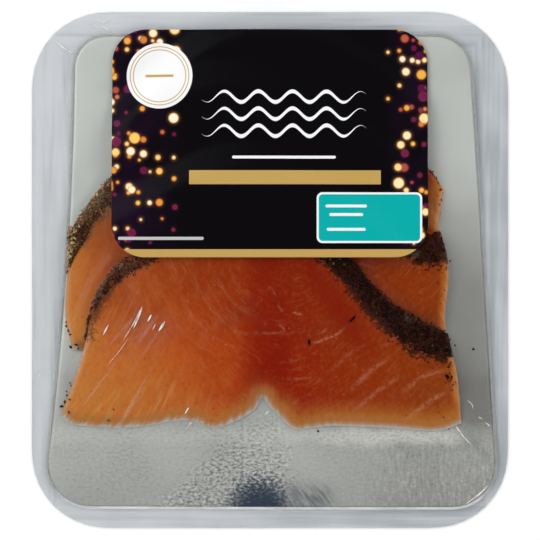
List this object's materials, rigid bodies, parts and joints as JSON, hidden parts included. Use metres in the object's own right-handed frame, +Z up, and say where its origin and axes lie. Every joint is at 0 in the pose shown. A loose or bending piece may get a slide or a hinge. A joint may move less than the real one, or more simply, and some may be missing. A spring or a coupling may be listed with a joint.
{
  "type": "gravlax pack",
  "caption": "Flat sealed pack of sliced gravlax: dill-edged salmon slices shingled on a silver board under clear film, with a printed label.",
  "frame": {"origin": "middle of the underside of the pack's base film", "axes": "+Z up through the pack, +X to the right, +Y towards the end with the label"},
  "size_m": [0.185, 0.2004, 0.0118],
  "materials": {
    "clear_film": "clear plastic film",
    "silver_board": "satin metallised card",
    "salmon": "moist",
    "label_print": "satin print"
  },
  "bodies": {
    "root": {"film_base": "clear_film", "board": "silver_board", "slice_back": "salmon", "slice_middle": "salmon", "slice_front": "salmon", "film_cover": "clear_film", "label": "label_print"}
  },
  "joints": []
}
